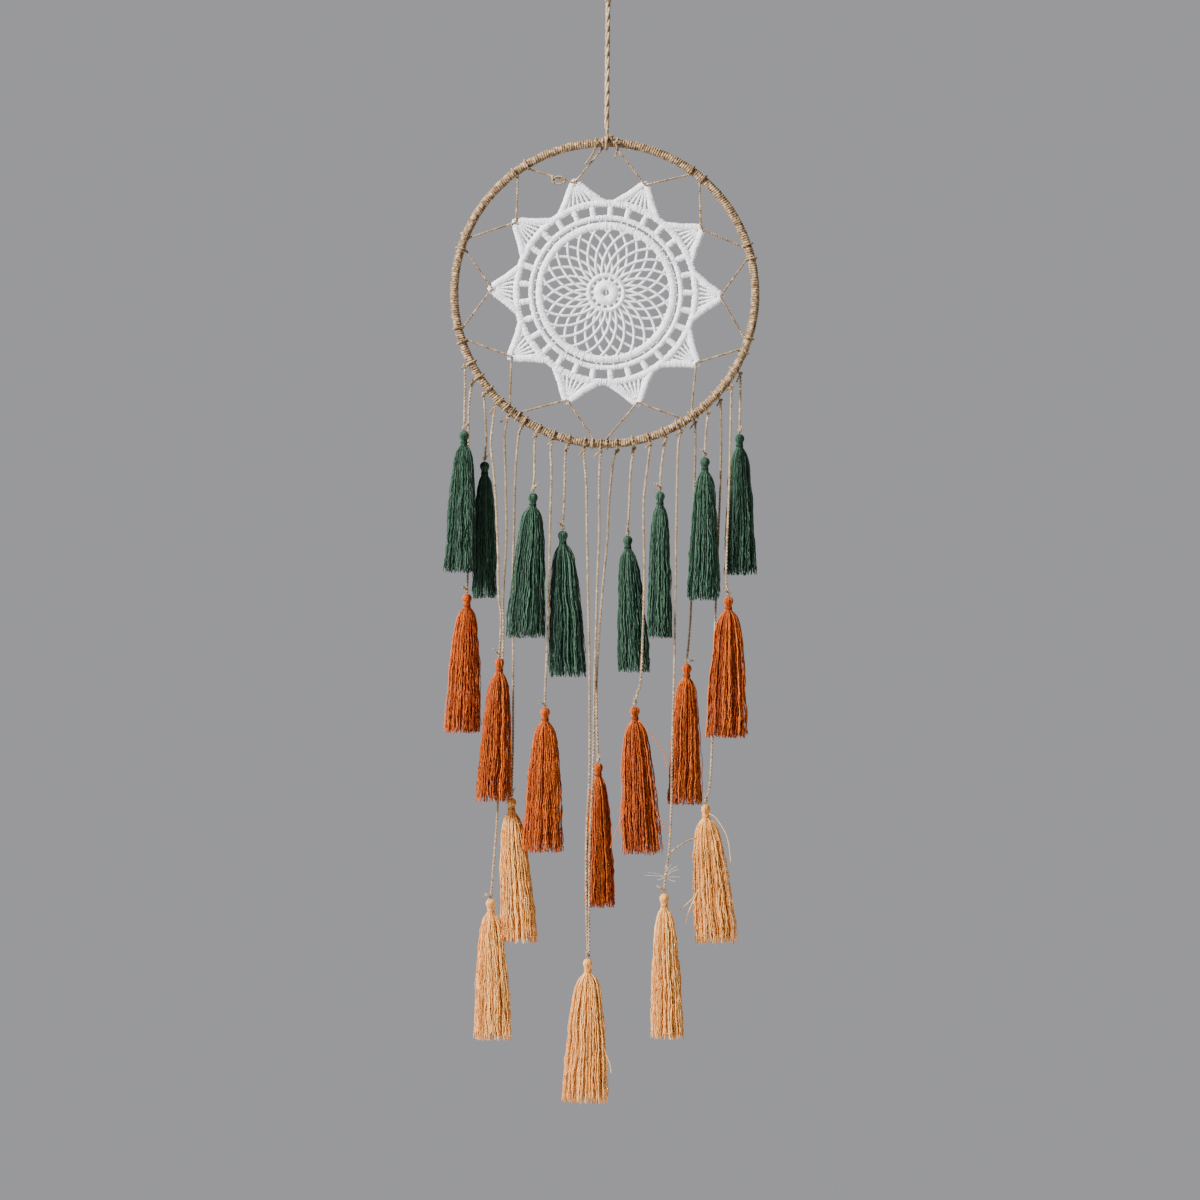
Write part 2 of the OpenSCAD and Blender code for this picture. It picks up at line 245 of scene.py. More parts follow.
def jute(name, *colours):
    """Twisted plant fibre: pale and dark fibres along each ply, and soft patches of age."""
    made, start, at, (along, around) = thread_material(name, 0.85, 0.04, 0.25, "along", "around")
    turn = around * (2 * math.pi) + along * 900.0
    fibre_at = start.node(
        "ShaderNodeCombineXYZ",
        None,
        {0: along * 260.0, 1: turn.maths("COSINE", turn) * 2.2, 2: turn.maths("SINE", turn) * 2.2},
    )
    fibre = noise(start, fibre_at, 1.6, 4.0)
    value = fibre * 0.45 + noise(start, at, 430.0, 3.0) * 0.55
    bump = (0.5, 0.00012, fibre)
    return finish_thread(made, start, value, (0.36, 0.66), colours, fibre * 0.2 + 0.75, bump)


jute_wrap = jute("jute_wrap", (0.045, 0.023, 0.010), (0.25, 0.155, 0.076), (0.70, 0.50, 0.29))
jute_cord = jute("jute_cord", (0.06, 0.034, 0.016), (0.27, 0.168, 0.083), (0.62, 0.44, 0.255))
jute_string = jute("jute_string", (0.14, 0.086, 0.045), (0.34, 0.230, 0.130), (0.64, 0.48, 0.31))


def new_tree(name, **inputs):
    """A geometry tree with one named input for each size; returns its start and its inputs."""
    tree = bpy.data.node_groups.new(name, "GeometryNodeTree")
    tree.interface.new_socket("Geometry", in_out="OUTPUT", socket_type="NodeSocketGeometry")
    tree.interface.new_socket("Geometry", in_out="INPUT", socket_type="NodeSocketGeometry")
    for label, kind in inputs.items():
        tree.interface.new_socket(label, in_out="INPUT", socket_type="NodeSocket" + kind)
    source = tree.nodes.new("NodeGroupInput")
    return Socket(tree), {s.name: Socket(tree, s) for s in source.outputs if s.name}


def end_tree(start, geometry, material):
    """Every tree ends in real mesh with its material on it."""
    smooth = start.node("GeometryNodeSetShadeSmooth", None, {"Geometry": geometry})
    real = start.node("GeometryNodeRealizeInstances", None, {"Geometry": smooth})
    painted = start.node("GeometryNodeSetMaterial", None, {"Geometry": real, "Material": material})
    end = start.tree.nodes.new("NodeGroupOutput")
    start.tree.links.new(painted.output, end.inputs[0])
    return start.tree


def store(start, geometry, name, value):
    return start.node(
        "GeometryNodeStoreNamedAttribute",
        {"data_type": "FLOAT", "domain": "POINT"},
        {"Geometry": geometry, "Name": name, "Value": value},
    )


def round_profile(start, radius, sides):
    ring = start.node(
        "GeometryNodeCurvePrimitiveCircle", None, {"Radius": radius, "Resolution": sides}, "Curve"
    )
    return store(start, ring, "around", start.node("GeometryNodeSplineParameter", out="Factor"))


def wound_thread_tree():
    """Thread wound close round a padded band: each run of the band becomes a coil of oval turns."""
    start, size = new_tree(
        "wound_thread", Width="Float", Height="Float", Thread="Float", Pitch="Float", Steps="Int",
        Sides="Int", Unevenness="Float", Material="Material",
    )
    band = start.node("GeometryNodeMeshToCurve", None, {"Mesh": size["Geometry"]})
    length = start.node("GeometryNodeSplineLength", out="Length")
    turns = start.maths("ROUND", length / size["Pitch"])
    fine = start.node(
        "GeometryNodeResampleCurve", {"mode": "COUNT"}, {"Curve": band, "Count": turns * size["Steps"] + 1}
    )
    share = start.node("GeometryNodeSplineParameter", out="Factor")
    angle = share * turns * (2 * math.pi)
    along = start.node("GeometryNodeInputTangent")
    side = start.vector_maths("CROSS_PRODUCT", along, (0, 1, 0))
    here = start.node("GeometryNodeInputPosition")
    wander = noise(start, here, 1150.0, 2.0) * size["Unevenness"] + (1 - size["Unevenness"] * 0.5)
    out_by = (size["Width"] - size["Thread"]) * 0.5 * angle.maths("COSINE", angle) * wander
    up_by = (size["Height"] - size["Thread"]) * 0.5 * angle.maths("SINE", angle) * wander
    up = start.node("ShaderNodeCombineXYZ", None, {1: up_by})
    moved = start.node("GeometryNodeSetPosition", None, {"Geometry": fine, "Offset": side * out_by + up})
    marked = store(start, moved, "along", start.node("GeometryNodeSplineParameter", out="Length"))
    thread = start.node(
        "GeometryNodeCurveToMesh",
        None,
        {"Curve": marked, "Profile Curve": round_profile(start, size["Thread"] * 0.5, size["Sides"]),
         "Fill Caps": True},
    )
    return end_tree(start, thread, size["Material"])


def hair_tree():
    """Short bent hairs standing off a surface, as many to the square metre as Density says."""
    start, size = new_tree(
        "stray_hairs", Density="Float", Length="Float", Seed="Int", Material="Material"
    )
    spots = start.tree.nodes.new("GeometryNodeDistributePointsOnFaces")
    start.tree.links.new(size["Geometry"].output, spots.inputs["Mesh"])
    start.tree.links.new(size["Density"].output, spots.inputs["Density"])
    start.tree.links.new(size["Seed"].output, spots.inputs["Seed"])
    line = start.node(
        "GeometryNodeCurvePrimitiveLine", None,
        {"Start": (0, 0, -0.0003), "End": start.node("ShaderNodeCombineXYZ", None, {2: size["Length"]})},
    )
    bendable = start.node("GeometryNodeResampleCurve", {"mode": "COUNT"}, {"Curve": line, "Count": 4})
    up = start.node("GeometryNodeSplineParameter", out="Factor")
    bend = start.node("ShaderNodeCombineXYZ", None, {0: up * up * size["Length"] * 0.6})
    bent = start.node("GeometryNodeSetPosition", None, {"Geometry": bendable, "Offset": bend})
    hair = start.node(
        "GeometryNodeCurveToMesh", None,
        {"Curve": bent, "Profile Curve": round_profile(start, 0.00004, 3)},
    )
    lean = start.node(
        "FunctionNodeRandomValue", {"data_type": "FLOAT_VECTOR"},
        {"Min": (-1.2, -1.2, -3.1), "Max": (1.2, 1.2, 3.1), "Seed": size["Seed"]},
    )
    turned = start.node(
        "FunctionNodeRotateRotation", {"rotation_space": "LOCAL"},
        {"Rotation": Socket(start.tree, spots.outputs["Rotation"]),
         "Rotate By": start.node("FunctionNodeEulerToRotation", None, {"Euler": lean})},
    )
    longer = start.node(
        "FunctionNodeRandomValue", {"data_type": "FLOAT"},
        {"Min_001": 0.3, "Max_001": 1.0, "Seed": size["Seed"]}, "Value_001",
    )
    hairs = start.node(
        "GeometryNodeInstanceOnPoints", None,
        {"Points": Socket(start.tree, spots.outputs["Points"]), "Instance": hair,
         "Rotation": turned, "Scale": longer},
    )
    both = start.node("GeometryNodeJoinGeometry", None, {"Geometry": [hairs, size["Geometry"]]})
    real = start.node("GeometryNodeRealizeInstances", None, {"Geometry": both})
    end = start.tree.nodes.new("NodeGroupOutput")
    start.tree.links.new(real.output, end.inputs[0])
    return start.tree


def line_mesh(runs, closed=False):
    """A mesh of edges only, one chain of points for each run."""
    points = [tuple(p) for run in runs for p in run]
    edges, first = [], 0
    for run in runs:
        edges += [(first + i, first + i + 1) for i in range(len(run) - 1)]
        if closed:
            edges.append((first + len(run) - 1, first))
        first += len(run)
    mesh = bpy.data.meshes.new("runs")
    mesh.from_pydata(points, edges, [])
    return mesh


def grow(mesh, tree, **sizes):
    """The plain mesh that a tree makes of a mesh, with the tree's inputs set to these sizes."""
    source = bpy.data.objects.new("source", mesh)
    bpy.context.scene.collection.objects.link(source)
    modifier = source.modifiers.new("tree", "NODES")
    modifier.node_group = tree
    for item in tree.interface.items_tree:
        if item.in_out == "INPUT" and item.name in sizes:
            modifier[item.identifier] = sizes[item.name]
    evaluated = source.evaluated_get(bpy.context.evaluated_depsgraph_get())
    made = bpy.data.meshes.new_from_object(evaluated)
    bpy.data.objects.remove(source)
    return made


def piece_of(name, body, slot, meshes, *nodes):
    """One finished piece of several meshes, on its body and in place of its CAD nodes."""
    joined = meshes[0]
    if len(meshes) > 1:
        materials, points, faces, smooth, tints = [], [], [], [], []
        joined = bpy.data.meshes.new(name)
        for mesh in meshes:
            base = sum(len(p) for p in points)
            shift = len(materials)
            materials += list(mesh.materials)
            at = np.zeros(len(mesh.vertices) * 3, np.float32)
            mesh.vertices.foreach_get("co", at)
            points.append(at.reshape(-1, 3))
            faces += [[base + v for v in f.vertices] for f in mesh.polygons]
            tints += [shift + f.material_index for f in mesh.polygons]
        joined.from_pydata(np.concatenate(points).tolist(), [], faces)
        joined.polygons.foreach_set("material_index", tints)
        joined.polygons.foreach_set("use_smooth", [True] * len(faces))
        for mark in ("along", "around", "shade"):
            values = []
            for mesh in meshes:
                part = np.zeros(len(mesh.vertices), np.float32)
                if mark in mesh.attributes:
                    mesh.attributes[mark].data.foreach_get("value", part)
                values.append(part)
            joined.attributes.new(mark, "FLOAT", "POINT").data.foreach_set("value", np.concatenate(values))
        for material in materials:
            joined.materials.append(material)
    piece = bpy.data.objects.new(name, joined)
    bpy.context.scene.collection.objects.link(piece)
    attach(piece, body)
    if nodes:
        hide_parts(*nodes)
    return piece


def on_hoop(angle, radius, forward=0.0):
    """A point at an angle round the hoop from its right-hand side; forward is towards the viewer."""
    a = math.radians(angle)
    return HOOP_CENTRE + Vector((radius * math.cos(a), -forward, radius * math.sin(a)))


wound_thread = wound_thread_tree()
stray_hairs = hair_tree()
wrapping = grow(
    line_mesh([[on_hoop(a * 2, RING_R) for a in range(180)]], closed=True),
    wound_thread, Width=2 * TUBE_R, Height=2 * TUBE_R, Thread=TWINE_D, Pitch=TWINE_PITCH, Steps=12,
    Sides=6, Unevenness=0.42, Material=jute_wrap,
)
wrapping = grow(wrapping, stray_hairs, Density=3.5e4, Length=1.5 * MM, Seed=3)
piece_of("hoop_twine", "hoop", "jute_wrap", [wrapping], "hoop_wrap")


# The star is white guipure lace: cotton thread embroidered in thick satin stitch over
# padding cords, on a ground that was then dissolved away. Its ten points are each two
# satin borders with threads fanned between them from the tip, crossed by three finer ones.

STAR_CENTRE_OFFSET = Vector((0.8 * MM, 0, 0.5 * MM))
STAR_POINTS = 10
STAR_TURN = -2.0
STAR_R = 75.8 * MM
VALLEY_R = 0.79 * STAR_R
BORDER_W = 4.8 * MM
SATIN_H = 2.9 * MM
SATIN_THREAD = 1.0 * MM
SATIN_PITCH = 0.86 * MM
FAN_THREADS = 8
FAN_D = 1.9 * MM


def cotton(name):
    """Matt white cotton, a little cooler in places, with the fine ply of its thread."""
    made, start, at, (along, around) = thread_material(name, 0.8, 0.05, 0.3, "along", "around")
    turn = around * (4 * math.pi) + along * 4200.0
    ply = turn.maths("SINE", turn) * 0.5 + 0.5
    patch = noise(start, at, 320.0, 3.0)
    fuzz = noise(start, at, 1500.0, 2.0)
    value = patch * 0.5 + fuzz * 0.5
    colours = (0.52, 0.50, 0.55), (0.90, 0.885, 0.91), (1.0, 0.995, 1.0)
    bump = (0.8, 0.0002, ply * 0.4 + fuzz * 0.6)
    return finish_thread(made, start, value, (0.3, 0.7), colours, patch * 0.15 + 0.75, bump)


# how far a ply lies from the cord's middle and its own radius, as shares of the thickness
PLY_OUT = 0.235
PLY_R = 0.275


def twisted_cord_tree():
    """Two or three plies twisted together along each run of points."""
    start, size = new_tree(
        "twisted_cord", Thickness="Float", Plies="Int", Lay="Float", Sides="Int", Steps="Float",
        Material="Material",
    )
    core = start.node("GeometryNodeMeshToCurve", None, {"Mesh": size["Geometry"]})
    fine = start.node(
        "GeometryNodeResampleCurve",
        {"mode": "LENGTH"},
        {"Curve": core, "Length": size["Lay"] / size["Steps"]},
    )
    copies = start.tree.nodes.new("GeometryNodeDuplicateElements")
    copies.domain = "SPLINE"
    start.tree.links.new(fine.output, copies.inputs["Geometry"])
    start.tree.links.new(size["Plies"].output, copies.inputs["Amount"])
    ply = Socket(start.tree, copies.outputs["Duplicate Index"])
    length = start.node("GeometryNodeSplineParameter", out="Length")
    angle = (length / size["Lay"] + ply / size["Plies"]) * (2 * math.pi)
    across = start.node("GeometryNodeInputNormal", out="Normal")
    up = start.vector_maths("CROSS_PRODUCT", start.node("GeometryNodeInputTangent"), across)
    here = start.node("GeometryNodeInputPosition")
    wander = noise(start, here, 160.0) * 0.16 + 0.92
    turned = across * angle.maths("COSINE", angle) + up * angle.maths("SINE", angle)
    aside = turned * (size["Thickness"] * PLY_OUT)
    moved = start.node(
        "GeometryNodeSetPosition", None,
        {"Geometry": Socket(start.tree, copies.outputs["Geometry"]), "Offset": aside * wander},
    )
    marked = store(start, moved, "along", length + ply * 0.37)
    cord = start.node(
        "GeometryNodeCurveToMesh", None,
        {"Curve": marked, "Profile Curve": round_profile(start, size["Thickness"] * PLY_R, size["Sides"]),
         "Fill Caps": True},
    )
    return end_tree(start, cord, size["Material"])


twisted_cord = twisted_cord_tree()
cotton_thread = cotton("cotton_thread")


def on_star(radius, angle, forward=0.0):
    return on_hoop(STAR_TURN + angle, radius, forward) + STAR_CENTRE_OFFSET


def star_plane(tip_angle, aside, out, forward=0.0):
    """A place in one point of the star: so far out along its middle line, and so far aside."""
    return on_star(math.hypot(out, aside), tip_angle + math.degrees(math.atan2(aside, out)), forward)


star_step = 360 / STAR_POINTS
border_runs, fan_runs, rung_runs = [], [], []
valley_aside = VALLEY_R * math.sin(math.radians(star_step / 2))
valley_out = VALLEY_R * math.cos(math.radians(star_step / 2))
edge = Vector((-valley_aside, STAR_R - valley_out)).normalized()
foot_aside = valley_aside - edge.y * BORDER_W / 2 - 1.2 * MM
foot_out = valley_out + edge.x * BORDER_W / 2 - 0.4 * MM
tip_out = STAR_R - 1.6 * MM
for k in range(STAR_POINTS):
    turn = k * star_step
    slope = (tip_out - 1.2 * MM - foot_out) / foot_aside
    middle = (foot_aside * 0.5, foot_out + slope * foot_aside * 0.5 + 0.3 * MM)
    side = [(foot_aside, foot_out), middle, (1.5 * MM, tip_out - 0.8 * MM)]
    path = side + [(0, tip_out)] + [(-a, o) for a, o in reversed(side)]
    border_runs.append([star_plane(turn, a, o) for a, o in path])
    for j in range(FAN_THREADS):
        aside = (j / (FAN_THREADS - 1) - 0.5) * 2 * foot_aside * 0.84
        fan_runs.append([star_plane(turn, aside * 0.16, tip_out - 3.4 * MM, 0.2 * MM),
                         star_plane(turn, aside * 0.6, (tip_out + VALLEY_R) / 2 - 2.4 * MM, 0.1 * MM),
                         star_plane(turn, aside, VALLEY_R - 3.0 * MM)])
    for share in (0.2, 0.42, 0.64):
        width = foot_aside * (1 - share) * 0.9
        rise = VALLEY_R - 0.8 * MM + share * (tip_out - VALLEY_R)
        rung_runs.append([star_plane(turn, s * width, rise, -0.35 * MM) for s in (-1, -0.5, 0, 0.5, 1)])
star_points = [
    grow(line_mesh(border_runs), wound_thread, Width=BORDER_W, Height=SATIN_H, Thread=SATIN_THREAD,
         Pitch=SATIN_PITCH, Steps=10, Sides=5, Unevenness=0.6, Material=cotton_thread),
    grow(line_mesh(fan_runs), twisted_cord, Thickness=FAN_D, Plies=2, Lay=2.6 * MM, Sides=5, Steps=5.0,
         Material=cotton_thread),
    grow(line_mesh(rung_runs), twisted_cord, Thickness=0.6 * MM, Plies=2, Lay=1.8 * MM, Sides=4, Steps=4.0,
         Material=cotton_thread),
]
piece_of("lace_points", "hoop", "lace", star_points)


# Inside the points run three satin rings. Twenty-nine broad bars hold the outer one off
# the middle one, which leaves a ladder of square windows, and the inner two lie so close
# that only a fine broken groove shows between them.

OUTER_BAND = (57.75 * MM, 4.7 * MM)
MIDDLE_BAND = (48.4 * MM, 3.6 * MM)
INNER_BAND = (43.1 * MM, 5.1 * MM)
LADDER_BARS = 29
BAR_W = 4.1 * MM
GROOVE_STITCHES = 44


def ring_run(radius, forward=0.0):
    return [on_star(radius, a * 3, forward) for a in range(120)]


bands = []
for radius, width in (OUTER_BAND, MIDDLE_BAND, INNER_BAND):
    bands.append(grow(
        line_mesh([ring_run(radius)], closed=True), wound_thread, Width=width, Height=SATIN_H,
        Thread=SATIN_THREAD, Pitch=SATIN_PITCH, Steps=10, Sides=5, Unevenness=1.1, Material=cotton_thread,
    ))
bar_runs = []
for k in range(LADDER_BARS):
    angle = k * 360 / LADDER_BARS - STAR_TURN
    bar_runs.append([on_star(r * MM, angle) for r in (49.0, 52.5, 56.0)])
bands.append(grow(
    line_mesh(bar_runs), wound_thread, Width=BAR_W, Height=SATIN_H * 0.86, Thread=SATIN_THREAD,
    Pitch=SATIN_PITCH, Steps=10, Sides=5, Unevenness=1.1, Material=cotton_thread,
))
groove_runs = []
for k in range(GROOVE_STITCHES):
    angle = (k + 0.3 * math.sin(k * 2.4)) * 360 / GROOVE_STITCHES
    groove_runs.append([on_star(r * MM, angle, 0.45 * MM) for r in (45.3, 46.1, 46.9)])
bands.append(grow(
    line_mesh(groove_runs), twisted_cord, Thickness=1.1 * MM, Plies=2, Lay=2.2 * MM, Sides=5, Steps=5.0,
    Material=cotton_thread,
))
piece_of("lace_bands", "hoop", "lace", bands, "lace_star")


# The star's middle is a net of twenty-six looped threads that run from the inner ring
# round the hub and back, so they cross in a rosette. The hub is a domed satin button
# with a small hole, held in a satin ring by fourteen bridges.

NET_LOOPS = 26
NET_OUT_R = 41.8 * MM
NET_LOOP_D = 58.7 * MM
NET_IN_R = 11.5 * MM
NET_THREAD = (1.95 * MM, 1.6 * MM)
HUB_RING = (11.3 * MM, 3.2 * MM)
HUB_BUTTON = (5.2 * MM, 6.5 * MM)
HUB_BRIDGES = 14

net_runs = []
for k in range(NET_LOOPS):
    for side in (-1, 1):
        run = []
        for i in range(15):
            r = NET_OUT_R + (NET_IN_R - NET_OUT_R) * i / 14
            bearing = k * 360 / NET_LOOPS + side * math.degrees(math.acos(r / NET_LOOP_D))
            run.append(on_star(r, bearing, side * 0.22 * MM))
        net_runs.append(run)
net = [
    grow(line_mesh(net_runs), wound_thread, Width=NET_THREAD[0], Height=NET_THREAD[1], Thread=0.85 * MM,
         Pitch=0.78 * MM, Steps=6, Sides=4, Unevenness=1.1, Material=cotton_thread),
    grow(line_mesh([ring_run(HUB_RING[0])], closed=True), wound_thread, Width=HUB_RING[1], Height=SATIN_H,
         Thread=SATIN_THREAD, Pitch=SATIN_PITCH, Steps=10, Sides=5, Unevenness=1.1, Material=cotton_thread),
    grow(line_mesh([ring_run(HUB_BUTTON[0])], closed=True), wound_thread, Width=HUB_BUTTON[1],
         Height=SATIN_H * 1.2, Thread=SATIN_THREAD * 1.3, Pitch=SATIN_PITCH, Steps=14, Sides=5,
         Unevenness=0.3, Material=cotton_thread),
]
bridge_runs = [[on_star(r * MM, k * 360 / HUB_BRIDGES) for r in (7.6, 9.0, 10.4)] for k in range(HUB_BRIDGES)]
net.append(grow(
    line_mesh(bridge_runs), wound_thread, Width=2.3 * MM, Height=SATIN_H * 0.7, Thread=SATIN_THREAD,
    Pitch=SATIN_PITCH, Steps=8, Sides=5, Unevenness=0.3, Material=cotton_thread,
))
hole_thread = [[on_star(2.6 * MM, 93.0), on_star(0.2 * MM, 10.0), on_star(2.6 * MM, -82.0)]]
net.append(grow(
    line_mesh(hole_thread), twisted_cord, Thickness=0.6 * MM, Plies=2, Lay=1.8 * MM, Sides=5, Steps=5.0,
    Material=cotton_thread,
))
piece_of("lace_net", "hoop", "lace", net)


# One length of thin jute string laces the star into the hoop: out from each tip to the
# rim, round it, along and back in to the next tip. It is knotted off at the top, on both
# sides of the hanging cord, and a curl of spare string is left on one leg.

LACING_D = 1.2 * MM
LACING_SPREAD = 5.6
LACE_HOLE_R = STAR_R - 2.2 * MM


def rim_turn(angle, radius, steps=16, turns=1.0, pitch=0.0, first=0.0):
    """A turn of string round the rim at this angle, as points."""
    points = []
    for i in range(int(steps * turns) + 1):
        a = first + 2 * math.pi * i / steps
        aside = pitch * (i / steps - turns / 2) / RING_R
        centre_angle = angle + math.degrees(aside)
        points.append(on_hoop(centre_angle, RING_R + radius * math.cos(a), radius * math.sin(a)))
    return points


def bare_knot(centre, size, turn=0.0, squash=(1, 1, 1)):
    """A pulled-tight overhand knot: a trefoil of string round its middle."""
    points = []
    for i in range(25):
        t = 2 * math.pi * i / 24 + turn
        x = (math.sin(t) + 2 * math.sin(2 * t)) / 3
        z = (math.cos(t) - 2 * math.cos(2 * t)) / 3
        y = -math.sin(3 * t) * 0.5
        points.append(Vector(centre) + size * Vector((x * squash[0], y * squash[1], z * squash[2])))
    return points


def smooth_run(points, step):
    """Points a step apart along a smooth line through the given ones."""
    given = [Vector(p) for p in points]
    ends = [given[0] * 2 - given[1], *given, given[-1] * 2 - given[-2]]
    fine = []
    for i in range(1, len(ends) - 2):
        p0, p1, p2, p3 = ends[i - 1:i + 3]
        count = max(2, round((p2 - p1).length / step))
        for j in range(count):
            t = j / count
            fine.append(0.5 * ((2 * p1) + (p2 - p0) * t + (2 * p0 - 5 * p1 + 4 * p2 - p3) * t * t
                               + (3 * p1 - p0 - 3 * p2 + p3) * t ** 3))
    return [*fine, given[-1]]


lacing_runs = []
bind_r = TUBE_R + LACING_D / 2 - 0.1 * MM
for k in range(STAR_POINTS):
    tip = on_star(LACE_HOLE_R, k * star_step, 1.6 * MM)
    legs = []
    for side in (-1, 1):
        end_angle = STAR_TURN + (k + side / 2) * star_step - side * LACING_SPREAD / 2
        end = on_hoop(end_angle, RING_R - TUBE_R - LACING_D / 2, 0.0)
        near = tip + (end - tip).normalized() * 1.2 * MM
        legs.append([near, (near + end) / 2 + Vector((0, -0.4 * MM, 0)), end])
        lacing_runs.append(rim_turn(end_angle, bind_r, turns=1.15, pitch=side * 0.9 * MM, first=math.pi))
    lacing_runs.append([*reversed(legs[0]), tip + Vector((0, -0.25 * MM, 0)), *legs[1]])
for k in range(STAR_POINTS):
    mid = STAR_TURN + (k + 0.5) * star_step
    lacing_runs.append(
        [on_hoop(mid + s * LACING_SPREAD / 2, RING_R, -bind_r) for s in (-0.9, -0.3, 0.3, 0.9)]
    )
for knot_angle, knot_r, tail in ((93.2, 1.4 * MM, (-7.3, -13.8)), (85.2, 1.7 * MM, (-1.7, -9.5))):
    knot = on_hoop(knot_angle, RING_R - 0.2 * MM, TUBE_R + 0.8 * MM)
    lacing_runs.append(bare_knot(knot, knot_r, knot_angle))
    lacing_runs.append(rim_turn(knot_angle, bind_r, turns=1.0))
    lacing_runs.append(smooth_run([knot, knot + Vector((tail[0] * 0.3, -0.6, tail[1] * 0.5)) * MM,
                                   knot + Vector((tail[0], 2.2, tail[1])) * MM], 2 * MM))
curl_at = on_hoop(112.2, 78.6 * MM, 1.0 * MM)
curl = [curl_at + Vector((4.2 * math.cos(a), -0.6 - 0.12 * a, 2.4 * math.sin(a))) * MM
        for a in [0.45 * i for i in range(-2, 13)]]
lacing_runs.append(curl)
lacing_runs.append(bare_knot(curl_at + Vector((-3.4, -0.4, 1.6)) * MM, 1.3 * MM))
piece_of("lacing", "hoop", "jute_cord", [grow(
    line_mesh(lacing_runs), twisted_cord, Thickness=LACING_D * 1.15, Plies=2, Lay=3.6 * MM, Sides=6,
    Steps=6.0, Material=jute_cord,
)], "lacing", "lacing_ties")


# The hanging cord is a thicker three-ply jute cord. It rises from the tie on the hoop to an
# overhand knot, and goes on as the loop that rests on the nail.

HANGER_D = 2.8 * MM
HANGER_LAY = 24 * MM
tie_low, tie_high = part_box("hanger_tie")
knot_low, knot_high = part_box("loop_knot")
tie_x = (tie_low.x + tie_high.x) / 2
TIE_TOP = Vector((tie_x, 0, tie_high.z))
LOOP_KNOT = (knot_low + knot_high) / 2
loop_r = 7.0 * MM
loop_top_z = HANGER_D / 2 - loop_r


def run_length(points):
    return sum((b - a).length for a, b in zip(points, points[1:]))


stem = [TIE_TOP, TIE_TOP + (LOOP_KNOT - TIE_TOP) * 0.5, LOOP_KNOT]
loop = [LOOP_KNOT + Vector((-1.2, 0, 3.5)) * MM, LOOP_KNOT + Vector((-4.8, 0, 12)) * MM]
loop += [Vector((-loop_r * math.cos(a), 0, loop_top_z + loop_r * math.sin(a)))
         for a in [math.pi * i / 8 for i in range(9)]]
loop += [LOOP_KNOT + Vector((4.8, 0, 12)) * MM, LOOP_KNOT + Vector((1.2, 0, 3.5)) * MM, LOOP_KNOT]
hanger_path = smooth_run([*stem, *loop], 3 * MM)
hanger = piece_of("hanging_cord", "hanger", "jute_cord", [grow(
    line_mesh([hanger_path]), twisted_cord, Thickness=HANGER_D * 1.16, Plies=3, Lay=HANGER_LAY, Sides=8,
    Steps=14.0, Material=jute_string,
)], "hanging_loop")
loop_knot = piece_of("hanging_loop_knot", "hanger", "jute_cord", [grow(
    line_mesh([bare_knot(LOOP_KNOT, 2.6 * MM)]), twisted_cord, Thickness=HANGER_D * 0.9, Plies=3,
    Lay=HANGER_LAY, Sides=8, Steps=14.0, Material=jute_string,
)], "loop_knot")
run_length(hanger_path)

tie_r = TUBE_R + HANGER_D * 0.4
tie_angle = math.degrees(math.asin((tie_x - HOOP_CENTRE.x) / RING_R))
rim_top = on_hoop(90 - tie_angle, RING_R)
tie_knot = rim_top + Vector((2.6, -2.0, 3.8)) * MM
tie_runs = [
    rim_turn(90 - tie_angle, tie_r, turns=1.0, pitch=-1.2 * MM),
    smooth_run([TIE_TOP, rim_top + Vector((0.2, -1.6, 5.2)) * MM, rim_top + Vector((0, -4.4, 0.4)) * MM,
                rim_top + Vector((-0.2, -2.6, -3.4)) * MM], 2 * MM),
    bare_knot(tie_knot, 1.25 * MM),
    [rim_top + Vector((0.6, 0.4, 4.4)) * MM, tie_knot, tie_knot + Vector((0.6, -0.6, -2.0)) * MM],
]
piece_of("hanger_tie", "tie", "jute_cord", [grow(
    line_mesh(tie_runs), twisted_cord, Thickness=HANGER_D * 0.8, Plies=3, Lay=HANGER_LAY, Sides=8,
    Steps=14.0, Material=jute_cord,
)], "hanger_tie")


# Twenty-one jute strings hang from the lower rim. Each is looped round the rim, closed
# by a knot just outside it, and its short end is cut off slanting down and to the left.

STRING_D = 1.5 * MM
STRING_LAY = 4.4 * MM
TIE_PITCH = 6.1
FIRST_TIE = -152.5
KNOT_OUT = 4.5 * MM
KNOT_TILT = 2 * MM
LAYER_DEPTH = 5 * MM
LAYER_FALL = 40 * MM
END_KNOT_R = 1.3 * MM
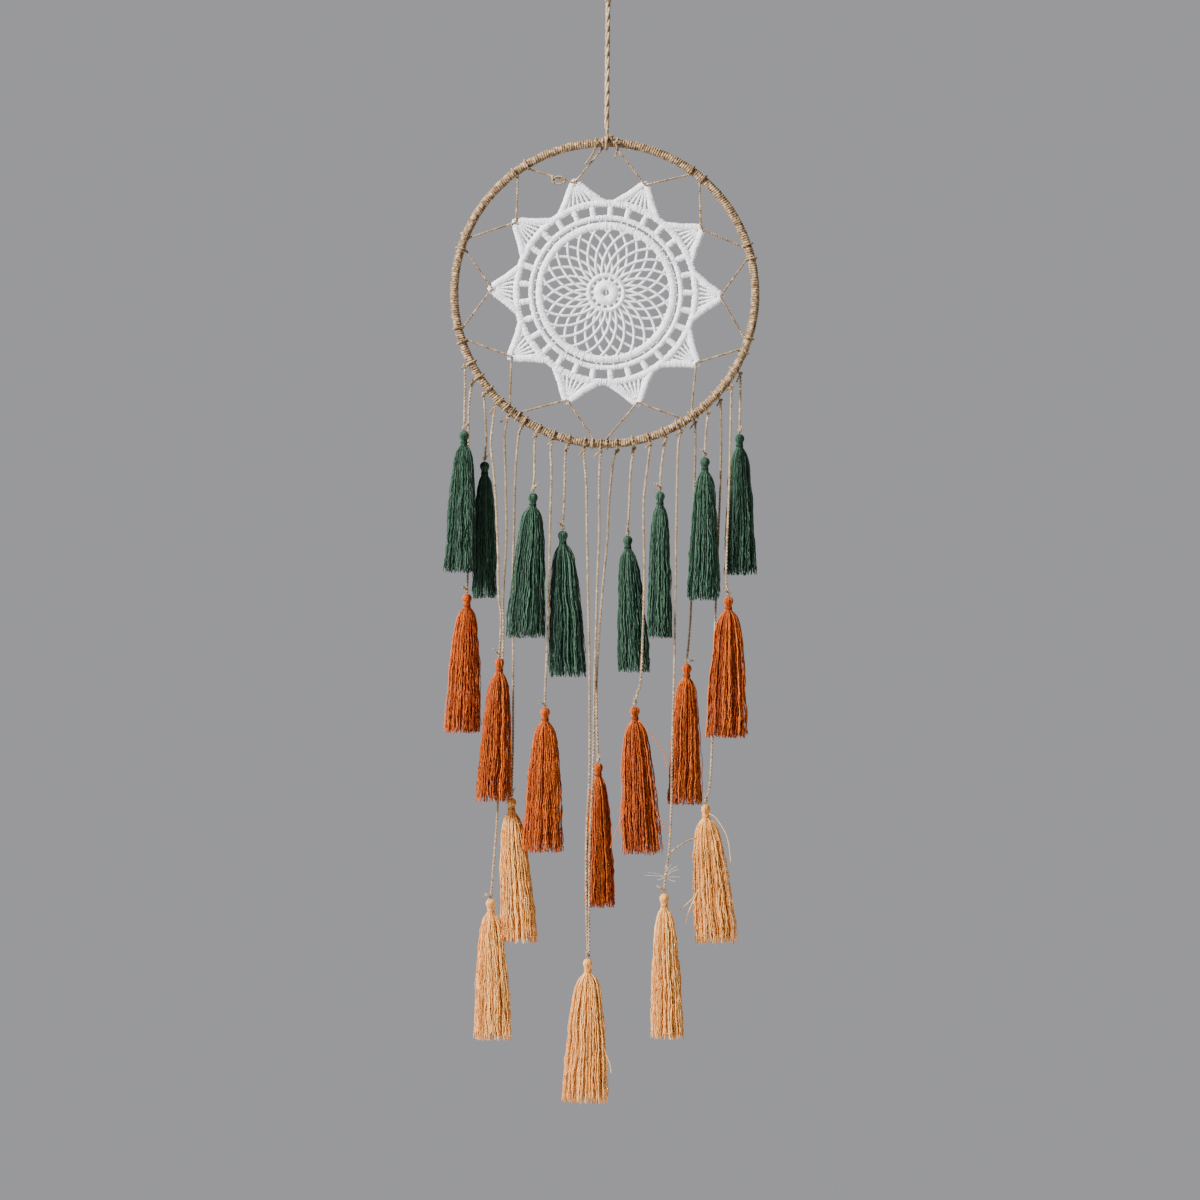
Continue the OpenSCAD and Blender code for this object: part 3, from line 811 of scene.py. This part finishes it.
# name, tie number, layer (1 front, -1 rear), the string's points right and up from its
# knot, and the tassel's lean to the right, spread at the hem and extra length, in mm
STRANDS = [
    ["green_1", 0, 1, [[0, -20], [-0.5, -40]], -2.8, 20.9, -1],
    ["rust_1", 1, -1, [[-2.5, -9], [-3.5, -28], [-4, -80], [-4, -124], [-4.5, -135.5]], -2.9, 24.4, -2],
    ["green_2", 2, -1, [[1, -15], [1.5, -30], [0.5, -41.5]], 0, 16.6, -4],
    ["rust_2", 3, 1, [[-1.5, -12], [-2.5, -26], [0, -50], [2, -90], [2.5, -122], [4, -136], [3, -160.5]],
        -3.9, 23.7, 0],
    ["cream_2", 4, -1, [[-2, -12], [-1.5, -37], [-1, -78], [-3, -115], [-3, -143], [-5, -195],
        [-6.5, -250], [-10, -298], [-11, -309]], 1.5, 25.2, -1],
    ["cream_1", 5, -1, [[-2, -7], [-4, -31], [-5, -72], [-5.5, -87], [-5.5, -136], [-5.5, -200],
        [-6.5, -237.5]], 5, 24.5, 1],
    ["green_3", 6, 1, [[-1, -8], [-1, -26], [-2, -35.5]], -5, 25.9, 1],
    ["rust_3", 7, 1, [[-0.5, -7], [0, -22], [-1, -62], [-2.5, -126], [-4, -160], [-4, -169.5]],
        -1.8, 27.3, 1],
    ["green_4", 8, 0, [[-1.5, -7], [-2, -30], [-3, -52.5]], 3, 25.2, 2],
    ["cream_3", 9, 1, [[0, -5], [1.5, -24], [2, -57], [3, -114], [3.5, -150], [3.5, -206], [1.5, -250],
        [1.5, -293], [2.5, -326]], -1.5, 31, 1],
    ["rust_4", 11, -1, [[-2.5, -6], [-5.5, -34], [-6.5, -57], [-10, -94], [-12.5, -130], [-13.5, -157],
        [-13, -185], [-12.5, -200]], 1.2, 20.2, 1],
    ["green_5", 12, -1, [[-2, -12], [-3, -34], [-4, -54.5]], 4, 22.3, -4],
    ["rust_5", 13, 1, [[-1.5, -12], [-4.5, -40], [-4, -83], [-6, -148], [-8.5, -160], [-10, -167]],
        4.6, 27.4, 3],
    ["green_6", 14, 1, [[-2, -10], [-3.5, -22], [-4, -32.5]], -0.5, 17.3, 2],
    ["cream_4", 15, 1, [[-2, -10], [-3, -48], [-3.5, -77], [-4.5, -149], [-6, -205], [-6.5, -242],
        [-8, -270], [-10.5, -288], [-11, -296]], 2.1, 22.3, 1],
    ["rust_6", 16, -1, [[0, -20], [-0.5, -40], [-2.5, -115], [-4, -140], [-5.5, -154]], -1, 23, -1],
    ["green_7", 17, 1, [[-1.5, -10], [-2.5, -27.5]], -1, 21.6, 0],
    ["cream_5", 18, -1, [[0.5, -20], [0, -54], [-3, -133], [-4.5, -196], [-6.5, -245], [-9.5, -259]],
        7.3, 29.5, -2],
    ["rust_7", 19, 1, [[-0.5, -20], [-1.5, -62], [-3.5, -120], [-2, -133]], -1.1, 28, -1],
    ["green_8", 20, -1, [[0, -15], [-0.5, -37]], 0.6, 20.9, -1],
]
SECOND_TIE = 10
SECOND_POINTS = [[-1, -20], [-1, -56], [-2, -77], [-3, -113], [-4, -149], [-5, -206], [-7, -250],
    [-7.5, -293], [-7.5, -324]]
SECOND_FORWARD = 1.2 * MM


def knot_place(number, layer):
    return on_hoop(FIRST_TIE + TIE_PITCH * number, RING_R + KNOT_OUT, KNOT_TILT * layer)


def string_route(number, layer, points, forward=0.0):
    """The string's points from its knot down: it eases into its layer over the first stretch."""
    knot = knot_place(number, layer)
    route = [knot]
    for right, up in points:
        eased = min(1, -up * MM / LAYER_FALL)
        out = (layer * (LAYER_DEPTH - KNOT_TILT) + forward) * eased
        route.append(knot + Vector((right * MM, -out, up * MM)))
    return route


tie_runs = []
for number, layer in [(row[1], row[2]) for row in STRANDS] + [(SECOND_TIE, 1)]:
    angle = FIRST_TIE + TIE_PITCH * number
    knot = knot_place(number, layer)
    tie_runs.append(rim_turn(angle, TUBE_R + STRING_D / 2 - 0.1 * MM, turns=1.0, pitch=0.8 * MM))
    tie_runs.append(bare_knot(knot, 1.25 * MM, number * 1.7, (1, 1.2, 1)))
    slant = Vector((-0.62 - 0.2 * math.sin(number * 2.1), -0.25, -0.72 + 0.25 * math.cos(number * 3.3)))
    tail = 4.6 * MM + 1.2 * MM * math.sin(number * 5.1)
    tie_runs.append([knot, knot + slant * tail * 0.5 + Vector((0, 0, 0.2 * MM)), knot + slant * tail])
piece_of("string_ties", "hoop", "jute_cord", [grow(
    line_mesh(tie_runs), twisted_cord, Thickness=STRING_D * 0.78, Plies=2, Lay=STRING_LAY, Sides=6,
    Steps=7.0, Material=jute_cord,
)], "string_ties")


# a paler copy of the jute, as painted light: the loose fibres are painted as if lit
jute_fibre_painted_light = jute("jute_fibre_painted_light", (0.26, 0.19, 0.12), (0.46, 0.36, 0.24), (0.66, 0.55, 0.40))


def frayed(runs):
    """Single fibres that have come out of a string, painted paler than the twisted cord as painted light."""
    return grow(
        line_mesh(runs), twisted_cord, Thickness=0.46 * MM, Plies=2, Lay=3 * MM, Sides=3, Steps=5.0,
        Material=jute_fibre_painted_light,
    )


def hang_string(name, body, node, route, with_knot, seed):
    """One string down its route, with the knot and the short cut end that its tassel hangs from."""
    path = smooth_run(route, 2 * MM)
    end = route[-1]
    runs, frays = [], []
    if with_knot:
        chance = random.Random(seed)
        slant = Vector((chance.uniform(-1, 1), -0.5, chance.uniform(0.1, 0.9))).normalized()
        cut_end = [end + slant * 2.0 * MM, end + slant * 4.2 * MM]
        path = path + cut_end
        runs.append(bare_knot(end, 1.0 * MM, seed, (1, 1.1, 0.9)))
        for _ in range(4):
            away = Vector([chance.uniform(-1, 1) for _ in range(3)]).normalized()
            frays.append([cut_end[0], cut_end[1] + away * 0.5 * MM, cut_end[1] + (slant + away) * 1.4 * MM])
    runs.append(path)
    mesh = grow(
        line_mesh(runs), twisted_cord, Thickness=STRING_D * 1.1, Plies=2, Lay=STRING_LAY, Sides=6,
        Steps=6.0, Material=jute_string,
    )
    meshes = [mesh, frayed(frays)] if frays else [mesh]
    piece = piece_of(name, body, "jute_cord", meshes, node)
    run_length(path)


for number, (name, tie, layer, points, lean, spread, extra) in enumerate(STRANDS):
    hang_string(
        f"hanging_string_{name}", f"strand_{name}", f"string_{name}",
        string_route(tie, layer, points), True, number,
    )
second_route = string_route(SECOND_TIE, 1, SECOND_POINTS, SECOND_FORWARD)
hang_string(
    "hanging_string_cream_3_second", "strand_cream_3", "string_cream_3_second", second_route, False, 99,
)


# The string of cream_4 is knotted a second time a little above its tassel, where its
# plies fan out into single fibres, and one of them curls up to the right.

cream_4 = next(row for row in STRANDS if row[0] == "cream_4")
second_knot = string_route(*cream_4[1:4])[-1] + Vector((0.5, 0, 9)) * MM
fan = [(-13, 1), (-11, 3), (9, 5), (10, 0), (7, -3), (8, 7), (4, 8), (-5, -2)]
fan_runs = [
    [second_knot + Vector(offset) * MM for offset in ((0, 0, 0), (x * 0.5, -0.6, z * 0.7), (x, -1.5, z))]
    for x, z in fan
]
curl_points = [(0, 4), (2, 12), (4, 16), (9, 20), (15, 23.5), (20, 25)]
curl_run = smooth_run([second_knot + Vector((x, -0.12 * x, z)) * MM for x, z in curl_points], 2 * MM)
fanned = frayed(fan_runs)
curled = grow(
    line_mesh([curl_run, bare_knot(second_knot, 1.0 * MM)]), twisted_cord, Thickness=STRING_D * 0.8, Plies=2,
    Lay=STRING_LAY, Sides=5, Steps=6.0, Material=jute_cord,
)
piece_of("frayed_knot_cream_4", "strand_cream_4", "jute_cord", [fanned, curled])


# Each tassel is a bundle of crinkled yarn folded over the string's end knot, bound at the
# neck with a few turns of the same yarn and cut at the hem. Its strands run over the
# round head, through the neck, and spread into an uneven skirt.

TASSEL_LENGTH = 88 * MM
HEAD_R = 3.25 * MM
NECK_R = 2.15 * MM
NECK_BELOW = 4.55 * MM
HEM_DEPTH = 13 * MM
KNOT_GAP = 0.4 * MM
YARN_D = 0.54 * MM
YARN_STRANDS = 232
YARN_POINTS = 44
CRINKLE = 0.62 * MM


def yarn(name, *colours):
    """Matt crinkled yarn: every strand a little lighter or darker than its neighbours, and the inner strands
    and the core darker as painted shade.
    """
    marks = "shade", "along", "around"
    made, start, at, (shade, along, around) = thread_material(name, 0.9, 0.04, 0.15, *marks)
    fleck = noise(start, at, 900.0, 3.0)
    turn = around * (4 * math.pi) + along * 5200.0
    ply = turn.maths("SINE", turn) * 0.5 + 0.5
    value = shade * 0.5 + fleck * 0.5
    bump = (0.5, 0.00015, ply * 0.5 + fleck)
    return finish_thread(made, start, value, (0.22, 0.72), colours, fleck * 0.2 + 0.75, bump)


def yarn_bundle_tree():
    """Yarn strands over the round head, in through the neck and out to the hem, round a dark core of painted
    shade.
    """
    start, size = new_tree(
        "yarn_bundle", Strands="Int", Points="Int", Length="Float", Head="Float", Width="Float",
        Depth="Float", Lean="Float", Crinkle="Float", Yarn="Float", Neck="Float", NeckBelow="Float",
        Seed="Int", Material="Material",
    )
    head_share, head_arc = 0.15, 2.42
    neck_low = -math.cos(head_arc)
    head = size["Head"] - size["Yarn"] * 0.5

    def chance(low, high, key, which):
        return start.node(
            "FunctionNodeRandomValue", {"data_type": "FLOAT"},
            {"Min_001": low, "Max_001": high, "ID": which, "Seed": size["Seed"] * 17 + key}, "Value_001",
        )

    def bell(share, inner, long):
        """How wide, how deep and how far down a strand is, at a share of its way to the hem."""
        arc = start.maths("MINIMUM", share / head_share, 1.0) * head_arc
        hung = start.maths("MAXIMUM", (share - head_share) / (1 - head_share), 0.0)
        below = start.maths("POWER", hung, 1.12)
        flare = start.node(
            "ShaderNodeFloatCurve",
            {"points": [(0, 0), (0.035, 0), (0.06, 0.12), (0.1, 0.33), (0.17, 0.5), (0.32, 0.66),
                        (0.55, 0.81), (0.78, 0.92), (1, 1)]},
            {"Value": below},
        )
        ball = head * arc.maths("SINE", arc) * (inner * 0.45 + 0.55)
        wide = ball + flare * (size["Width"] * 0.5 - size["Neck"]) * inner
        deep = ball + flare * (size["Depth"] * 0.5 - size["Neck"]) * inner
        down = below * (long - size["Head"] * neck_low) - arc.maths("COSINE", arc) * head
        return wide, deep, down, flare, below

    line = start.node("GeometryNodeCurvePrimitiveLine", None, {"Start": (0, 0, 0), "End": (0, 0, -1)})
    fine = start.node(
        "GeometryNodeResampleCurve", {"mode": "COUNT"}, {"Curve": line, "Count": size["Points"]}
    )
    copies = start.tree.nodes.new("GeometryNodeDuplicateElements")
    copies.domain = "SPLINE"
    start.tree.links.new(fine.output, copies.inputs["Geometry"])
    start.tree.links.new(size["Strands"].output, copies.inputs["Amount"])
    strand = Socket(start.tree, copies.outputs["Duplicate Index"])
    bearing = chance(0.0, 2 * math.pi, 1, strand)
    inner = start.maths("POWER", chance(0.0, 1.0, 2, strand), 0.6) * 0.7 + 0.3
    cut = chance(0.972, 1.02, 3, strand) - start.maths("POWER", chance(0.0, 1.0, 4, strand), 8.0) * 0.14
    wide, deep, down, flare, below = bell(
        start.node("GeometryNodeSplineParameter", out="Factor"), inner, size["Length"] * cut
    )
    x = wide * bearing.maths("COSINE", bearing) + below * size["Lean"]
    y = deep * bearing.maths("SINE", bearing)
    base = start.node("ShaderNodeCombineXYZ", None, {0: x, 1: y, 2: down * -1.0})
    clump_at = start.node(
        "ShaderNodeCombineXYZ", None, {0: x * 120.0 + size["Seed"] * 1.37, 1: y * 120.0, 2: down * 60.0}
    )
    clump = start.node("ShaderNodeTexNoise", None, {"Vector": clump_at, "Scale": 1.0, "Detail": 1.0}, "Color")
    own_at = start.node(
        "ShaderNodeCombineXYZ", None, {0: strand * 7.31, 1: size["Seed"] * 3.7, 2: down * 230.0}
    )
    own = start.node("ShaderNodeTexNoise", None, {"Vector": own_at, "Scale": 1.0, "Detail": 1.5}, "Color")

    def spread_of(colour, amount):
        centred = start.vector_maths("SUBTRACT", colour, (0.5, 0.5, 0.5))
        flat = start.vector_maths("MULTIPLY", centred, (1.0, 1.0, 0.4))
        return flat * ((flare * 0.8 + 0.12) * amount)

    place = base + spread_of(clump, size["Crinkle"] * 5.2) + spread_of(own, size["Crinkle"] * 4.6)
    moved = start.node(
        "GeometryNodeSetPosition", None,
        {"Geometry": Socket(start.tree, copies.outputs["Geometry"]), "Position": place},
    )
    marked = store(start, moved, "along", down)
    # each strand's tone is part random and part painted shade: strands lying further in are painted darker
    shaded = store(start, marked, "shade", chance(0.0, 0.6, 5, strand) + inner * 0.4)
    bundle = start.node(
        "GeometryNodeCurveToMesh", None,
        {"Curve": shaded, "Profile Curve": round_profile(start, size["Yarn"] * 0.5, 3), "Fill Caps": True},
    )

    # The core is a dark cone of painted shade: it fills the gaps between the strands with the dark of the
    # bundle's inside.
    tube = start.node(
        "GeometryNodeMeshCylinder", {"fill_type": "NGON"},
        {"Vertices": 44, "Side Segments": 26, "Radius": 1.0, "Depth": 0.94}, "Mesh",
    )
    at = start.node("ShaderNodeSeparateXYZ", None, {"Vector": start.node("GeometryNodeInputPosition")})
    at_x, at_y, at_z = (Socket(start.tree, at.output.node.outputs[i]) for i in range(3))
    core_wide, core_deep, core_down, _, core_below = bell(
        (at_z - 0.47) * -1.0 + 0.01, at_z * 0.0 + 0.74, size["Length"]
    )
    ridge_at = start.node(
        "ShaderNodeCombineXYZ", None, {0: at_x * 5.0, 1: at_y * 5.0, 2: size["Seed"] * 2.9 + at_z * 3.0}
    )
    ridge = noise(start, ridge_at, 1.6, 2.0) * 0.5 + 0.6
    core_x = at_x * core_wide * ridge + core_below * size["Lean"]
    core_at = start.node(
        "ShaderNodeCombineXYZ", None, {0: core_x, 1: at_y * core_deep * ridge, 2: core_down * -1.0}
    )
    core = start.node("GeometryNodeSetPosition", None, {"Geometry": tube, "Position": core_at})
    core_marked = store(start, core, "along", core_down)
    core_shaded = store(start, core_marked, "shade", ridge * 0.3)

    binding = start.node(
        "GeometryNodeCurveSpiral", None,
        {"Resolution": 18, "Rotations": 3.2, "Start Radius": size["Neck"], "End Radius": size["Neck"],
         "Height": size["Yarn"] * 2.4},
    )
    drop = start.node("ShaderNodeCombineXYZ", None, {2: size["NeckBelow"] * -1.0 - size["Yarn"] * 1.2})
    lowered = start.node("GeometryNodeTransform", None, {"Geometry": binding, "Translation": drop})
    bound = store(start, lowered, "along", start.node("GeometryNodeSplineParameter", out="Length"))
    toned = store(start, bound, "shade", 0.35)
    band = start.node(
        "GeometryNodeCurveToMesh", None,
        {"Curve": toned, "Profile Curve": round_profile(start, size["Yarn"] * 0.6, 6), "Fill Caps": True},
    )
    both = start.node("GeometryNodeJoinGeometry", None, {"Geometry": [bundle, core_shaded, band]})
    return end_tree(start, both, size["Material"])


yarn_bundle = yarn_bundle_tree()
YARNS = {
    "green": yarn("green_yarn", (0.0008, 0.0036, 0.0021), (0.008, 0.030, 0.0175), (0.064, 0.130, 0.082)),
    "rust": yarn("rust_yarn", (0.028, 0.0034, 0.0006), (0.205, 0.0245, 0.0022), (0.64, 0.132, 0.011)),
    "cream": yarn("cream_yarn", (0.14, 0.040, 0.006), (0.70, 0.250, 0.044), (0.99, 0.54, 0.165)),
}
# threads that have sprung out of a skirt, as points right and up from the head's middle, in mm
STRAYS = {
    "rust_5": [[(-3, -42), (-6, -63), (-11, -74), (-16, -88)],
               [(8, -52), (12, -61), (17, -71.5), (22, -78)],
               [(2, -6), (6, -9), (12.4, -17.5), (18.5, -27), (20.5, -36.5)]],
    "cream_5": [[(2, -3), (6, -5), (12.4, -14.6), (15, -23.4), (16, -34)],
                [(-3, -46), (-6, -54), (-11, -60), (-17, -65)],
                [(-3, -48), (-7, -57), (-11, -66), (-13, -74.5)]],
    "cream_3": [[(8, -46), (11, -56), (14, -64), (15, -70)]],
    "rust_4": [[(-4, -30), (-7, -46), (-8.5, -60)]],
    "green_3": [[(4, -34), (7, -50), (8, -66)]],
}
for number, (name, tie, layer, points, lean, spread, extra) in enumerate(STRANDS):
    colour = name.split("_")[0]
    head = string_route(tie, layer, points)[-1] - Vector((0, 0, END_KNOT_R + KNOT_GAP + HEAD_R))
    bundle = grow(
        line_mesh([[head, head]]), yarn_bundle, Strands=YARN_STRANDS, Points=YARN_POINTS,
        Length=TASSEL_LENGTH + extra * MM, Head=HEAD_R, Width=spread * MM, Depth=HEM_DEPTH,
        Lean=lean * MM, Crinkle=CRINKLE, Yarn=YARN_D, Neck=NECK_R, NeckBelow=NECK_BELOW, Seed=number,
        Material=YARNS[colour],
    )
    at = np.zeros(len(bundle.vertices) * 3, np.float32)
    bundle.vertices.foreach_get("co", at)
    bundle.vertices.foreach_set("co", (at.reshape(-1, 3) + np.array(head, np.float32)).ravel())
    meshes = [bundle]
    if name in STRAYS:
        runs = [
            smooth_run([head + Vector((x, -2.5 - 0.06 * i, z)) * MM for i, (x, z) in enumerate(run)], 2 * MM)
            for run in STRAYS[name]
        ]
        stray = grow(line_mesh(runs), twisted_cord, Thickness=YARN_D * 1.3, Plies=2, Lay=3 * MM, Sides=4,
                     Steps=4.0, Material=YARNS[colour])
        pale = stray.attributes.new("shade", "FLOAT", "POINT")
        pale.data.foreach_set("value", [0.9] * len(stray.vertices))
        meshes.append(stray)
    piece_of(f"yarn_tassel_{name}", f"tassel_{name}", f"{colour}_yarn", meshes, f"tassel_{name}")
